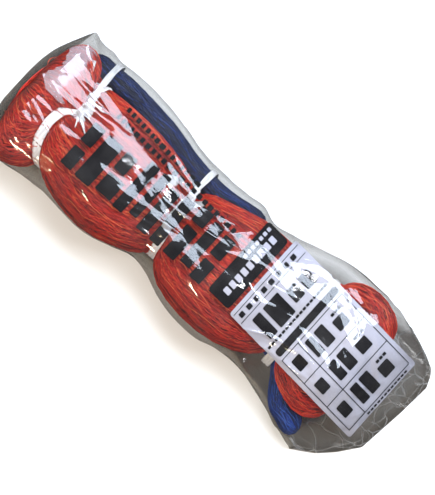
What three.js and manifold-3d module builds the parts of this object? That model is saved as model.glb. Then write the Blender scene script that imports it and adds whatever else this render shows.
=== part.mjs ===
// A hank of fine bird netting, tied with three flat tapes and packed in a clear film bag that lies on its side.
// Millimetres, +Z up, +X from the head of the hank to its tail, origin under the middle of the bag on the surface it lies on.
import * as THREE from "three";
import Module from "manifold-3d";
import { mergeVertices } from "three/addons/utils/BufferGeometryUtils.js";

const wasm = await Module();
wasm.setup();

// Driving dimensions of the red netting: the lengths of its four lobes, from the head to the tail
const headLobeLength = 37;
const upperLobeLength = 99;
const lowerLobeLength = 115;
const tailLobeLength = 58;

// How far each lobe reaches left (-Y) and right (+Y) of the hank's line, and how high it stands
const headLobe = { left: 52, right: 47, top: 62 };
const upperLobe = { left: 50, right: 33, top: 70 };
const lowerLobe = { left: 50, right: 40, top: 68 };
const tailLobe = { left: 43, right: 55, top: 58 };

// The waists that the tapes pull in, and the rounded tips
const headTip = { left: 22, right: 20, top: 32, bottom: 12 };
const headWaist = { left: 37, right: 32, top: 48, bottom: 8 };
const middleWaist = { left: 31, right: 22, top: 46, bottom: 8 };
const tailWaist = { left: 24, right: 36, top: 44, bottom: 7 };
const tailTip = { left: 24, right: 32, top: 32, bottom: 9 };

const lobeFullness = 0.5; // the lower, the plumper a lobe is beside its tape
const lobeSag = 4; // how much of a lobe's underside is pressed flat
const sectionPower = 2.3; // 2 is an ellipse, and more is boxier

// The blue edge of the net, gathered into a hank of its own that starts on the right and ends on the left
const edgeHankWidth = 18;
const edgeHankHeight = 22;
const edgeHankCrossingHeight = 17; // where the red netting lies on it
const edgeHankTip = 12; // length of its rounded ends
const edgeHankInset = 18; // from the netting's head to where the blue starts
const edgeHankShort = 10; // from the netting's tail to where the blue stops

// The flat tapes
const tapeWidth = 8;
const tapeThickness = 0.8;
const knotLength = 13;
const knotWidth = 8;
const knotHeight = 6;
const tailTapeThickness = 0.4;
const spreadTailInset = 0.15; // where the spread tail stops, as a share of the head lobe

// The clear film bag
const filmThickness = 0.3;
const bagHeadMargin = 9; // film beyond the netting's head
const bagTailMargin = 36; // empty film beyond its tail
const headSealWidth = 108;
const headSealBow = 16;
const headSealHeight = 12;
const mouthWidth = 122;
const mouthBow = 36;
const mouthShift = -7; // the mouth's middle from the hank's line
const tailFlare = 13; // how far the empty film spreads on the floor, left of the last lobe

// How far the film sags in at each waist
const headDip = { left: 3, right: 1, top: 2 };
const middleDip = { left: 12, right: 6, top: 12 };
const tailDip = { left: 10, right: 0, top: 7 };

const touchGap = 0.3; // between pieces that touch
const filmSlack = 1.2; // how loosely the film lies over what it holds
const bagClearance = touchGap + tapeThickness + filmSlack;

// How finely the faces are cut
const around = 32;
const ringsPerLobe = 8;
const edgeHankRings = 26;
const edgeHankSides = 12;
const ringsPerBagSpan = 7;
const ringsPerBagEnd = 6;

const mix = (a, b, t) => a + (b - a) * t;
const clamp01 = (t) => Math.min(1, Math.max(0, t));
const smooth = (t) => clamp01(t) ** 2 * (3 - 2 * clamp01(t));
const angleOf = (i) => (2 * Math.PI * i) / around;

// Stations along the hank
const headTieX = headLobeLength;
const middleTieX = headTieX + upperLobeLength;
const tailTieX = middleTieX + lowerLobeLength;
const hankLength = tailTieX + tailLobeLength;
const land = tapeWidth / 2 + touchGap; // the straight stretch under half a tape
const restHeight = filmThickness + touchGap; // the netting lies on the film's inside

const stations = [
  { x: 0, land: 0, ...headTip },
  { x: headTieX, land, ...headWaist },
  { x: middleTieX, land, ...middleWaist },
  { x: tailTieX, land, ...tailWaist },
  { x: hankLength, land: 0, ...tailTip },
];
const lobes = [headLobe, upperLobe, lowerLobe, tailLobe].map((lobe) => ({ ...lobe, bottom: -lobeSag }));
const lobeStart = (k) => stations[k].x + stations[k].land;
const lobeEnd = (k) => stations[k + 1].x - stations[k + 1].land;
const lobePeak = (k) => (lobeStart(k) + lobeEnd(k)) / 2;

// How far the netting reaches left, right, up and down at x
function nettingAt(x) {
  const k = [1, 2, 3].filter((s) => x > stations[s].x).length;
  const t = clamp01((x - lobeStart(k)) / (lobeEnd(k) - lobeStart(k)));
  const bulge = Math.max(0, Math.sin(Math.PI * t)) ** lobeFullness;
  const reach = {};
  for (const side of ["left", "right", "top", "bottom"]) {
    const waist = mix(stations[k][side], stations[k + 1][side], t);
    reach[side] = mix(waist, lobes[k][side], bulge);
  }
  return reach;
}

// The middle of the netting's section at x
function centreAt(x) {
  const { left, right, top, bottom } = nettingAt(x);
  return { y: (right - left) / 2, z: (top + bottom) / 2 };
}

// Distance from the middle of the section to the netting's surface, at an angle from +Y towards +Z
function nettingRadius(x, angle) {
  const { left, right, top, bottom } = nettingAt(x);
  const across = Math.abs(Math.cos(angle)) / ((left + right) / 2);
  const up = Math.abs(Math.sin(angle)) / ((top - bottom) / 2);
  const radius = (across ** sectionPower + up ** sectionPower) ** (-1 / sectionPower);
  const floorDrop = (top + bottom) / 2 - restHeight;
  return angle > Math.PI ? Math.min(radius, floorDrop / -Math.sin(angle)) : radius;
}

// The line of the blue edge hank: beside the netting on the right, then under it to the left
const edgeHankStart = edgeHankInset;
const edgeHankEnd = hankLength - edgeHankShort;
const besideZ = restHeight + edgeHankHeight / 2 + 6;
const edgeHankFloor = restHeight + tapeThickness + touchGap; // a tape passes under it
const underZ = edgeHankFloor + edgeHankCrossingHeight / 2;
const crossingX = mix(lobePeak(2), lobeEnd(2), 0.35);
const edgeHankPoints = [
  [edgeHankStart, headLobe.right - 5, besideZ],
  [headTieX, headWaist.right + edgeHankWidth / 2 - 1, besideZ],
  [lobePeak(1), upperLobe.right + 5, besideZ],
  [middleTieX, middleWaist.right + edgeHankWidth / 2 + 1, besideZ],
  [mix(lobeStart(2), lobePeak(2), 0.6), lowerLobe.right - 3, besideZ],
  [crossingX, 0, underZ],
  [tailTieX, -tailWaist.left + 4, underZ + 1],
  [lobePeak(3), -tailLobe.left - 3, underZ + 3],
  [edgeHankEnd, -tailLobe.left - 4, underZ + 3],
].map((p) => new THREE.Vector3(...p));

// A smooth value between the points, each taken as (x, value)
function alongPoints(x, axis) {
  const k = edgeHankPoints.findLastIndex((p, i) => i < edgeHankPoints.length - 1 && p.x <= x);
  const [a, b] = [edgeHankPoints[Math.max(k, 0)], edgeHankPoints[Math.max(k, 0) + 1]];
  return mix(a[axis], b[axis], smooth((x - a.x) / (b.x - a.x)));
}

// The blue edge hank's section at x: its middle and its half sizes, or null outside it
function edgeHankAt(x) {
  if (x < edgeHankStart || x > edgeHankEnd) return null;
  const y = alongPoints(x, "y");
  const z = alongPoints(x, "z");
  const slope = (alongPoints(Math.min(x + 1, edgeHankEnd), "y") - alongPoints(Math.max(x - 1, edgeHankStart), "y")) / 2;
  const toEnd = Math.min(x - edgeHankStart, edgeHankEnd - x) / edgeHankTip;
  const round = Math.sqrt(1 - (1 - clamp01(toEnd * 0.96 + 0.04)) ** 2);
  return {
    y,
    z,
    halfWidth: (edgeHankWidth / 2) * round * Math.hypot(1, slope),
    halfHeight: Math.min(edgeHankHeight / 2, z - edgeHankFloor) * round,
  };
}

function edgeHankRing(x, sides, margin = 0) {
  const s = edgeHankAt(x);
  return Array.from({ length: sides }, (_, i) => {
    const angle = (2 * Math.PI * i) / sides;
    return new THREE.Vector3(
      x,
      s.y + (s.halfWidth + margin) * Math.cos(angle),
      s.z + (s.halfHeight + margin) * Math.sin(angle),
    );
  });
}

// Convex outline around flat [y, z] points, counter-clockwise
function convexOutline(points) {
  const sorted = [...points].sort((a, b) => a[0] - b[0] || a[1] - b[1]);
  const turn = (o, a, b) => (a[0] - o[0]) * (b[1] - o[1]) - (a[1] - o[1]) * (b[0] - o[0]);
  const half = (list) => {
    const chain = [];
    for (const p of list) {
      while (chain.length > 1 && turn(chain.at(-2), chain.at(-1), p) <= 0) chain.pop();
      chain.push(p);
    }
    return chain.slice(0, -1);
  };
  return [...half(sorted), ...half(sorted.reverse())];
}

// The netting and the blue edge hank at x, as flat [y, z] points
function contentsPoints(x) {
  const points = Array.from({ length: around }, (_, i) => pointAt(x, angleOf(i), nettingRadius(x, angleOf(i))));
  if (edgeHankAt(x)) points.push(...edgeHankRing(x, around));
  return points.map((p) => [p.y, p.z]);
}

// Distance from the section's middle to the convex outline around everything that is tied together at x
const contentsOutlines = new Map();
function contentsRadius(x, angle) {
  const centre = centreAt(x);
  if (!contentsOutlines.has(x)) contentsOutlines.set(x, convexOutline(contentsPoints(x)));
  const outline = contentsOutlines.get(x);
  const [dy, dz] = [Math.cos(angle), Math.sin(angle)];
  let reach = 0;
  outline.forEach((a, i) => {
    const b = outline[(i + 1) % outline.length];
    const [ey, ez] = [b[0] - a[0], b[1] - a[1]];
    const determinant = ez * dy - ey * dz;
    if (Math.abs(determinant) < 1e-9) return;
    const [ay, az] = [a[0] - centre.y, a[1] - centre.z];
    const distance = (ez * ay - ey * az) / determinant;
    const share = (dz * ay - dy * az) / determinant;
    if (distance > reach && share > -1e-6 && share < 1 + 1e-6) reach = distance;
  });
  return reach;
}

// A point at an angle around the section at x, at a given distance from its middle
function pointAt(x, angle, radius) {
  const centre = centreAt(x);
  return new THREE.Vector3(x, centre.y + radius * Math.cos(angle), centre.z + radius * Math.sin(angle));
}

// A closed surface through rings of points. Its ends are zipped shut from side to side, or joined if it is a loop.
// From ring turnAt on, the rings run back over the earlier ones, and their quads are split along the same diagonals.
function skin(rings, isLoop = false, turnAt = Infinity) {
  const count = rings[0].length;
  const index = [];
  const at = (ring, i) => ring * count + ((i + count) % count);
  const last = isLoop ? rings.length : rings.length - 1;
  for (let r = 0; r < last; r += 1) {
    const next = (r + 1) % rings.length;
    for (let i = 0; i < count; i += 1) {
      const [a, b, c, d] = [at(r, i), at(next, i), at(next, i + 1), at(r, i + 1)];
      index.push(...(r < turnAt ? [a, b, c, a, c, d] : [a, b, d, b, c, d]));
    }
  }
  if (!isLoop) {
    for (let i = 0; i < count / 2; i += 1) {
      const zip = (r) => [at(r, i), at(r, i + 1), at(r, -i - 1), at(r, i), at(r, -i - 1), at(r, -i)];
      const [start, end] = [zip(0), zip(rings.length - 1)];
      index.push(...start, ...end.reverse());
    }
  }
  const geometry = new THREE.BufferGeometry().setFromPoints(rings.flat());
  geometry.setIndex(index);
  return toSolid(geometry);
}

// A manifold-3d solid from a closed three.js geometry, turned so that its faces point out
function toSolid(geometry) {
  const bare = geometry.clone();
  bare.deleteAttribute("normal");
  bare.deleteAttribute("uv");
  const merged = mergeVertices(bare, 1e-4);
  const corners = [...merged.index.array];
  const triVerts = [];
  for (let i = 0; i < corners.length; i += 3) {
    const [a, b, c] = corners.slice(i, i + 3);
    if (a !== b && b !== c && c !== a) triVerts.push(a, b, c);
  }
  const build = (faces) =>
    new wasm.Manifold(
      new wasm.Mesh({
        numProp: 3,
        vertProperties: merged.attributes.position.array,
        triVerts: new Uint32Array(faces),
      }),
    );
  const solid = build(triVerts);
  return solid.volume() > 0 ? solid : build(triVerts.reverse());
}

// A thin sheet that lies on the contents: columns run across it from its first angle to its last
function surfaceStrip(xs, anglesAt, inner, outer, columns) {
  const rings = xs.map((x) => {
    const [from, to] = anglesAt(x);
    const side = (offset) =>
      Array.from({ length: columns + 1 }, (_, i) => {
        const angle = mix(from, to, i / columns);
        return pointAt(x, angle, contentsRadius(x, angle) + offset);
      });
    return [...side(outer), ...side(inner).reverse()];
  });
  return skin(rings);
}

// A lobe's stations: closer towards both ends, as the lobes are steepest beside a tape
function lobeRings(k) {
  return Array.from({ length: ringsPerLobe + 1 }, (_, i) =>
    mix(lobeStart(k), lobeEnd(k), (1 - Math.cos((Math.PI * i) / ringsPerLobe)) / 2),
  );
}

// The red netting: one lobed body with a channel where the blue edge hank lies against it
function makeNetting() {
  const xs = lobes.flatMap((_, k) => lobeRings(k));
  const rings = xs.map((x) =>
    Array.from({ length: around }, (_, i) => pointAt(x, angleOf(i), nettingRadius(x, angleOf(i)))),
  );
  return skin(rings).subtract(makeEdgeHank(touchGap));
}

function edgeHankStations() {
  const inner = Array.from({ length: edgeHankRings - 1 }, (_, i) =>
    mix(edgeHankStart + edgeHankTip, edgeHankEnd - edgeHankTip, i / (edgeHankRings - 2)),
  );
  const tip = [0, 0.12, 0.4];
  return [
    ...tip.map((t) => edgeHankStart + t * edgeHankTip),
    ...inner,
    ...tip.map((t) => edgeHankEnd - t * edgeHankTip).reverse(),
  ];
}

function makeEdgeHank(margin = 0) {
  const rings = edgeHankStations().map((x) => edgeHankRing(x, edgeHankSides, margin));
  return skin(rings);
}

// One tape: a band round everything at the waist, with its knot on the side that the angle faces
function makeTie(x, knotAngle) {
  const points = [x - land, x, x + land].flatMap(contentsPoints);
  const held = wasm.CrossSection.hull(points.map(([y, z]) => [y, z]));
  const grown = (offset) => held.offset(offset, "Round", 2, 32);
  const toHank = [0, 1, 0, 0, 0, 0, 1, 0, 1, 0, 0, 0, x - tapeWidth / 2, 0, 0, 1];
  const band = grown(touchGap + tapeThickness).subtract(grown(touchGap)).extrude(tapeWidth).transform(toHank);
  const out = [Math.cos(knotAngle), Math.sin(knotAngle)];
  const reach = ([y, z]) => y * out[0] + z * out[1];
  const top = points.reduce((best, p) => (reach(p) > reach(best) ? p : best));
  const lift = touchGap + knotHeight / 2;
  const knot = new THREE.SphereGeometry(0.5, 14, 8);
  knot.scale(knotWidth, knotLength, knotHeight);
  knot.rotateX(knotAngle - Math.PI / 2);
  knot.translate(x, top[0] + lift * out[0], top[1] + lift * out[1]);
  return band.add(toSolid(knot));
}

// The head tape's long tail, spread out flat over the head of the hank
function makeSpreadTail(x, knotAngle) {
  const overLobe = lobeRings(0).filter((s) => s > headLobeLength * spreadTailInset);
  const xs = [x + 1, x - 2, ...overLobe.reverse()];
  const halfAngle = (s) => mix(0.1, 0.5, clamp01((x - s) / headLobeLength) ** 0.6);
  const anglesAt = (s) => [knotAngle - halfAngle(s) * 0.7, knotAngle + halfAngle(s)];
  return surfaceStrip(xs, anglesAt, 2 * touchGap, 2 * touchGap + tailTapeThickness, 8);
}

// A bag point must lie outside what the bag holds
function pushOut(p) {
  if (p.x < 0 || p.x > hankLength) return p;
  const centre = centreAt(p.x);
  const angle = (Math.atan2(p.z - centre.z, p.y - centre.y) + 2 * Math.PI) % (2 * Math.PI);
  const nearby = [-1, -0.5, 0, 0.5, 1].map((step) => contentsRadius(p.x, angle + step * angleOf(1)));
  const least = Math.max(...nearby) + bagClearance + filmThickness;
  const radius = Math.hypot(p.y - centre.y, p.z - centre.z);
  return radius < least ? pointAt(p.x, angle, least) : p;
}

function onFloor(p) {
  p.z = Math.max(p.z, 0);
  return p;
}

// The bag's outer ring at a lobe's widest place. At the last lobe the film also spreads on the floor to the left.
function peakRing(k) {
  const spread = k === lobes.length - 1 ? tailFlare : 0;
  return Array.from({ length: around }, (_, i) => {
    const p = pushOut(pointAt(lobePeak(k), angleOf(i), 1));
    const low = clamp01(1 - p.z / lobes[k].top);
    p.y -= spread * low ** 1.5 * Math.max(0, -Math.cos(angleOf(i))) ** 0.7;
    return p;
  });
}

// The flat edge where the two sides of the film meet, bowed back at its corners
function edgeRing(x, bow, width, shift, height, thickness) {
  return Array.from({ length: around }, (_, i) => {
    const across = Math.cos(angleOf(i));
    return new THREE.Vector3(
      x + bow * Math.abs(across) ** 3,
      shift + (width / 2) * across,
      height + (thickness / 2) * Math.sin(angleOf(i)),
    );
  });
}

// Rings from a lobe's widest place to a flat edge: the film stays full, then closes
function closingRings(from, to, steps) {
  return Array.from({ length: steps }, (_, j) => {
    const t = (j + 1) / steps;
    return from.map((a, i) => {
      const b = to[i];
      const p = new THREE.Vector3(mix(a.x, b.x, t), mix(a.y, b.y, t ** 2), mix(a.z, b.z, t ** 1.8));
      return onFloor(t < 1 ? pushOut(p) : p);
    });
  });
}

// Rings between two lobes: the film spans the waist and dips a little
function spanRings(k, dip) {
  const [a, b] = [peakRing(k), peakRing(k + 1)];
  return Array.from({ length: ringsPerBagSpan }, (_, j) => {
    const t = j / ringsPerBagSpan;
    return a.map((p, i) => {
      const q = p.clone().lerp(b[i], t);
      const centre = centreAt(q.x);
      const inward = new THREE.Vector3(0, centre.y - q.y, centre.z - q.z).normalize();
      const [across, up] = [Math.cos(angleOf(i)), Math.sin(angleOf(i))];
      const sag = mix(across < 0 ? dip.left : dip.right, dip.top, clamp01(up) ** 2);
      q.addScaledVector(inward, sag * smooth((1 + up) / 0.8) * Math.sin(Math.PI * t) ** 2);
      return onFloor(pushOut(q));
    });
  });
}

// The same rings moved in by one distance, square to the surface
function insetRings(rings, inset) {
  const last = rings.length - 1;
  return rings.map((ring, r) =>
    ring.map((p, i) => {
      const round = ring[(i + 1) % around].clone().sub(ring[(i + around - 1) % around]);
      const along = rings[Math.min(r + 1, last)][i].clone().sub(rings[Math.max(r - 1, 0)][i]);
      return p.clone().addScaledVector(round.cross(along).normalize(), -inset);
    }),
  );
}

// The bag's outer rings from the seal at the head to the mouth at the tail
function bagRings() {
  const lipThickness = 4 * filmThickness;
  const seal = edgeRing(-bagHeadMargin, headSealBow, headSealWidth, -1, headSealHeight, lipThickness);
  const mouthX = hankLength + bagTailMargin;
  const mouth = edgeRing(mouthX, -mouthBow, mouthWidth, mouthShift, lipThickness / 2, lipThickness);
  return [
    ...closingRings(peakRing(0), seal, ringsPerBagEnd).reverse(),
    ...spanRings(0, headDip),
    ...spanRings(1, middleDip),
    ...spanRings(2, tailDip),
    peakRing(3).map(onFloor),
    ...closingRings(peakRing(3), mouth, ringsPerBagEnd),
  ];
}

// The bag: shut at the head, open at the tail, where its two sides lie almost together
function makeBag() {
  const outer = bagRings();
  const inner = insetRings(outer, filmThickness).slice(1);
  return skin([...outer, ...inner.reverse()], false, outer.length);
}

// The space in the bag, which presses what would reach further
function makeRoom() {
  return skin(insetRings(bagRings(), filmThickness + 0.95 * touchGap).slice(1, -1));
}

// A named mesh from a solid
function meshOf(name, solid, colour, roughness, options = {}) {
  const made = solid.getMesh();
  const geometry = new THREE.BufferGeometry();
  geometry.setAttribute("position", new THREE.BufferAttribute(new Float32Array(made.vertProperties), 3));
  geometry.setIndex([...made.triVerts]);
  geometry.computeVertexNormals();
  const material = new THREE.MeshStandardMaterial({ color: colour, roughness, metalness: 0, ...options });
  const mesh = new THREE.Mesh(geometry, material);
  mesh.name = name;
  return mesh;
}

const knotAngles = { head: 1.3, middle: 1.3, tail: 1.2 };
const headTie = makeTie(headTieX, knotAngles.head).add(makeSpreadTail(headTieX, knotAngles.head));

const room = makeRoom();

const hank = new THREE.Group();
hank.add(
  meshOf("red_netting", makeNetting().intersect(room), 0xc42a1e, 0.55),
  meshOf("blue_edge_netting", makeEdgeHank().intersect(room), 0x1c2f66, 0.55),
  meshOf("head_tie_tape", headTie, 0xe6e9f2, 0.4),
  meshOf("middle_tie_tape", makeTie(middleTieX, knotAngles.middle), 0xe6e9f2, 0.4),
  meshOf("tail_tie_tape", makeTie(tailTieX, knotAngles.tail), 0xe6e9f2, 0.4),
  meshOf("film_bag", makeBag(), 0xcdd2d6, 0.15, { transparent: true, opacity: 0.3 }),
);

// The origin lies under the middle of the bag
const box = new THREE.Box3().setFromObject(hank);
const middle = box.getCenter(new THREE.Vector3());
hank.position.set(-middle.x, -middle.y, -box.min.z);

const part = new THREE.Group();
part.add(hank);

export default part;
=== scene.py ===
"""A hank of fine bird netting with a blue edge, tied with white tapes, in a clear printed film bag."""
import math

import bpy
import numpy as np
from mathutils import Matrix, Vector
from mathutils.bvhtree import BVHTree


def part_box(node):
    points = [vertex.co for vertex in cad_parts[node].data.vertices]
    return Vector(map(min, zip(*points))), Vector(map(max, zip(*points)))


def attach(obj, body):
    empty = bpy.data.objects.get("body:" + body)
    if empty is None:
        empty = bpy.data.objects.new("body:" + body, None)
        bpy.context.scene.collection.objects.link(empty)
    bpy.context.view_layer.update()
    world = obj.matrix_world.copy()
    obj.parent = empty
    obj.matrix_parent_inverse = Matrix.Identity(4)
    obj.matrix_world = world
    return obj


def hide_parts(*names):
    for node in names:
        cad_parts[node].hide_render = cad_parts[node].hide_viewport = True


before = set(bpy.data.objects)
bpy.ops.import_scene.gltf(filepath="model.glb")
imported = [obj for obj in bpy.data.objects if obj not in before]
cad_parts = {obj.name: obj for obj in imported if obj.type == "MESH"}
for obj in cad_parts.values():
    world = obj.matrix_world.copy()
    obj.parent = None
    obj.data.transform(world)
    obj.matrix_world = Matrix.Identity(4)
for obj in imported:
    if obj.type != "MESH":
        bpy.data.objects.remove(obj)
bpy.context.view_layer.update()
rng = np.random.default_rng(7)
TAU = 2 * math.pi

# The sizes that the solids were built from, in millimetres
LOBE_LENGTHS = (37, 99, 115, 58)
# Sections are (left, right, top, bottom) from the hank's line
LOBES = np.array([(52, 47, 62, -4), (50, 33, 70, -4), (50, 40, 68, -4), (43, 55, 58, -4)], float)
WAISTS = np.array(
    [(22, 20, 32, 12), (37, 32, 48, 8), (31, 22, 46, 8), (24, 36, 44, 7), (24, 32, 32, 9)], float
)
TAPE_WIDTH, TAPE_THICKNESS, TOUCH_GAP, FILM = 8, 0.8, 0.3, 0.3
REST = FILM + TOUCH_GAP
WAIST_X = np.cumsum((0,) + LOBE_LENGTHS).astype(float)
LAND = np.array([0, 1, 1, 1, 0]) * (TAPE_WIDTH / 2 + TOUCH_GAP)
LOBE_START = (WAIST_X + LAND)[:-1]
LOBE_END = (WAIST_X - LAND)[1:]
PEAK = (LOBE_START + LOBE_END) / 2
HANK_END = WAIST_X[-1]
AROUND = 32
SQUARENESS = 2.3
# Each tape's waist, its name and the angle of its knot round the hank
TAPES = ((1, "head", 0.98), (2, "middle", 1.0), (3, "tail", 1.2))
# How far from its ends the hank narrows
DOME = 7.0


def smooth(t):
    t = np.clip(t, 0, 1)
    return t * t * (3 - 2 * t)


def mix(a, b, t):
    return a + (b - a) * t


def unit(vectors):
    return vectors / np.maximum(np.linalg.norm(vectors, axis=-1, keepdims=True), 1e-9)


def netting_at(x):
    """The netting's section at each x."""
    x = np.asarray(x, float)
    k = (x[..., None] > WAIST_X[1:4]).sum(-1)
    t = np.clip((x - LOBE_START[k]) / (LOBE_END[k] - LOBE_START[k]), 0, 1)
    bulge = np.maximum(0, np.sin(np.pi * t)) ** 0.5
    waist = mix(WAISTS[k], WAISTS[k + 1], t[..., None])
    return mix(waist, LOBES[k], bulge[..., None])


def dome(x):
    """How much the hank narrows in its last millimetres, where the twine turns back."""
    near = np.clip(np.minimum(x, HANK_END - x) / DOME, 0, 1)
    return np.sqrt(1 - 0.62 * (1 - near) ** 2)


def netting_centre(x):
    s = netting_at(x)
    return (s[..., 1] - s[..., 0]) / 2, (s[..., 2] + s[..., 3]) / 2


def middle_at(x):
    """The hank's middle (y, z) at one x."""
    return np.array([float(v) for v in netting_centre(float(x))])


def netting_radius(x, angle):
    s = netting_at(x)
    across = np.abs(np.cos(angle)) / ((s[..., 0] + s[..., 1]) / 2)
    up = np.abs(np.sin(angle)) / ((s[..., 2] - s[..., 3]) / 2)
    radius = (across**SQUARENESS + up**SQUARENESS) ** (-1 / SQUARENESS)
    drop = (s[..., 2] + s[..., 3]) / 2 - REST
    low = np.sin(angle) < -1e-6
    return np.where(low, np.minimum(radius, drop / np.maximum(-np.sin(angle), 1e-6)), radius)


def netting_point(x, angle, out=0.0):
    cy, cz = netting_centre(x)
    r = netting_radius(x, angle) + out
    return np.stack(np.broadcast_arrays(x, cy + r * np.cos(angle), cz + r * np.sin(angle)), -1)


# The blue edge hank's line: (x, y, z) of its middle
EDGE_W, EDGE_H, EDGE_TIP = 18, 22, 12
EDGE_FLOOR = REST + TAPE_THICKNESS + TOUCH_GAP
BESIDE, UNDER = REST + EDGE_H / 2 + 6, EDGE_FLOOR + 17 / 2
EDGE_START, EDGE_END = 18.0, HANK_END - 10
EDGE = np.array(
    [
        (EDGE_START, 47 - 5, BESIDE),
        (WAIST_X[1], 32 + EDGE_W / 2 - 1, BESIDE),
        (PEAK[1], 33 + 5, BESIDE),
        (WAIST_X[2], 22 + EDGE_W / 2 + 1, BESIDE),
        (mix(LOBE_START[2], PEAK[2], 0.6), 40 - 3, BESIDE),
        (mix(PEAK[2], LOBE_END[2], 0.35), 0, UNDER),
        (WAIST_X[3], -24 + 4, UNDER + 1),
        (PEAK[3], -43 - 3, UNDER + 3),
        (EDGE_END, -43 - 4, UNDER + 3),
    ]
)


def edge_at(x):
    """The blue hank's middle and half sizes at each x."""
    x = np.clip(np.asarray(x, float), EDGE_START, EDGE_END)
    k = np.clip(np.searchsorted(EDGE[:, 0], x, side="right") - 1, 0, len(EDGE) - 2)
    t = smooth((x - EDGE[k, 0]) / (EDGE[k + 1, 0] - EDGE[k, 0]))
    y, z = mix(EDGE[k, 1], EDGE[k + 1, 1], t), mix(EDGE[k, 2], EDGE[k + 1, 2], t)
    u = (x - EDGE[k, 0]) / (EDGE[k + 1, 0] - EDGE[k, 0])
    slope = 6 * u * (1 - u) * (EDGE[k + 1, 1] - EDGE[k, 1]) / (EDGE[k + 1, 0] - EDGE[k, 0])
    to_end = np.minimum(x - EDGE_START, EDGE_END - x) / EDGE_TIP
    rounding = np.sqrt(np.maximum(0, 1 - (1 - np.clip(to_end * 0.96 + 0.04, 0, 1)) ** 2))
    return y, z, EDGE_W / 2 * rounding * np.hypot(1, slope), np.minimum(EDGE_H / 2, z - EDGE_FLOOR) * rounding


ANGLES = TAU * np.arange(AROUND) / AROUND


def turns_left(a, b, c):
    return (b[0] - a[0]) * (c[1] - a[1]) - (b[1] - a[1]) * (c[0] - a[0]) > 0


def hull(points):
    pts = sorted(map(tuple, points))

    def half(seq):
        out = []
        for p in seq:
            while len(out) > 1 and not turns_left(out[-2], out[-1], p):
                out.pop()
            out.append(p)
        return out[:-1]

    return np.array(half(pts) + half(pts[::-1]))


def contents_outline(x):
    points = [netting_point(x, ANGLES)[:, 1:]]
    if EDGE_START <= x <= EDGE_END:
        y, z, w, h = (float(v) for v in edge_at(x))
        points.append(np.stack([y + w * np.cos(ANGLES), z + h * np.sin(ANGLES)], 1))
    return hull(np.concatenate(points))


_outlines = {}


def contents_radius(x, angles):
    """Distance from the netting's middle to the outline round netting and blue hank, at each angle."""
    key = round(float(x), 4)
    if key not in _outlines:
        _outlines[key] = contents_outline(float(x)) - middle_at(x)
    a = _outlines[key]
    e = np.roll(a, -1, axis=0) - a
    d = np.stack([np.cos(angles), np.sin(angles)], -1)[:, None]
    det = e[:, 1] * d[..., 0] - e[:, 0] * d[..., 1]
    det = np.where(np.abs(det) < 1e-9, 1e-9, det)
    dist = (e[:, 1] * a[:, 0] - e[:, 0] * a[:, 1]) / det
    share = (d[..., 1] * a[:, 0] - d[..., 0] * a[:, 1]) / det
    ok = (dist > 0) & (share > -1e-6) & (share < 1 + 1e-6)
    return np.where(ok, dist, 0).max(1)


# The bag, ring by ring as in the solids
CLEARANCE = TOUCH_GAP + TAPE_THICKNESS + 1.2


def push_out(ring):
    ring = ring.copy()
    for i, p in enumerate(ring):
        if not 0 <= p[0] <= HANK_END:
            continue
        cy, cz = middle_at(p[0])
        angle = math.atan2(p[2] - cz, p[1] - cy) % TAU
        steps = angle + np.array([-1, -0.5, 0, 0.5, 1]) * ANGLES[1]
        least = contents_radius(p[0], steps).max() + CLEARANCE + FILM
        if math.hypot(p[1] - cy, p[2] - cz) < least:
            ring[i, 1:] = cy + least * math.cos(angle), cz + least * math.sin(angle)
    return ring


def on_floor(ring):
    ring[:, 2] = np.maximum(ring[:, 2], 0)
    return ring


def peak_ring(k):
    ring = push_out(netting_point(np.full(AROUND, PEAK[k]), ANGLES, -netting_radius(PEAK[k], ANGLES) + 1))
    if k == 3:
        low = np.clip(1 - ring[:, 2] / LOBES[3, 2], 0, 1)
        ring[:, 1] -= 13 * low**1.5 * np.maximum(0, -np.cos(ANGLES)) ** 0.7
    return ring


def edge_ring(x, bow, width, shift, height):
    c = np.cos(ANGLES)
    return np.stack([x + bow * np.abs(c) ** 3, shift + width / 2 * c, height + 2 * FILM * np.sin(ANGLES)], 1)


def closing(start, end, steps=6):
    rings = []
    for j in range(steps):
        t = (j + 1) / steps
        ring = mix(start, end, np.array([t, t**2, t**1.8]))
        rings.append(on_floor(push_out(ring) if t < 1 else ring))
    return rings


def spanning(k, left, right, top, steps=7):
    a, b = peak_ring(k), peak_ring(k + 1)
    rings = []
    for j in range(steps):
        t = j / steps
        ring = mix(a, b, t)
        cy, cz = netting_centre(ring[:, 0])
        inward = unit(np.stack([0 * cy, cy - ring[:, 1], cz - ring[:, 2]], 1))
        side = np.where(np.cos(ANGLES) < 0, left, right)
        sag = mix(side, top, np.clip(np.sin(ANGLES), 0, 1) ** 2)
        sag = sag * smooth((1 + np.sin(ANGLES)) / 0.8) * math.sin(math.pi * t) ** 2
        rings.append(on_floor(push_out(ring + inward * sag[:, None])))
    return rings


def bag_rings():
    seal = edge_ring(-9, 16, 108, -1, 12)
    mouth = edge_ring(HANK_END + 36, -36, 122, -7, 2 * FILM)
    rings = closing(peak_ring(0), seal)[::-1]
    rings += spanning(0, 3, 1, 2) + spanning(1, 12, 6, 12) + spanning(2, 10, 0, 7)
    rings += [on_floor(peak_ring(3))] + closing(peak_ring(3), mouth)
    return np.array(rings)


RINGS = bag_rings()
# The solids were moved as one when they were built, so the scene is moved the same way
low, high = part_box("film_bag")
SHIFT = (np.array(low) + np.array(high)) * 500 - (RINGS.min((0, 1)) + RINGS.max((0, 1))) / 2
SHIFT[2] = low[2] * 1000 - RINGS[..., 2].min()


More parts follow.
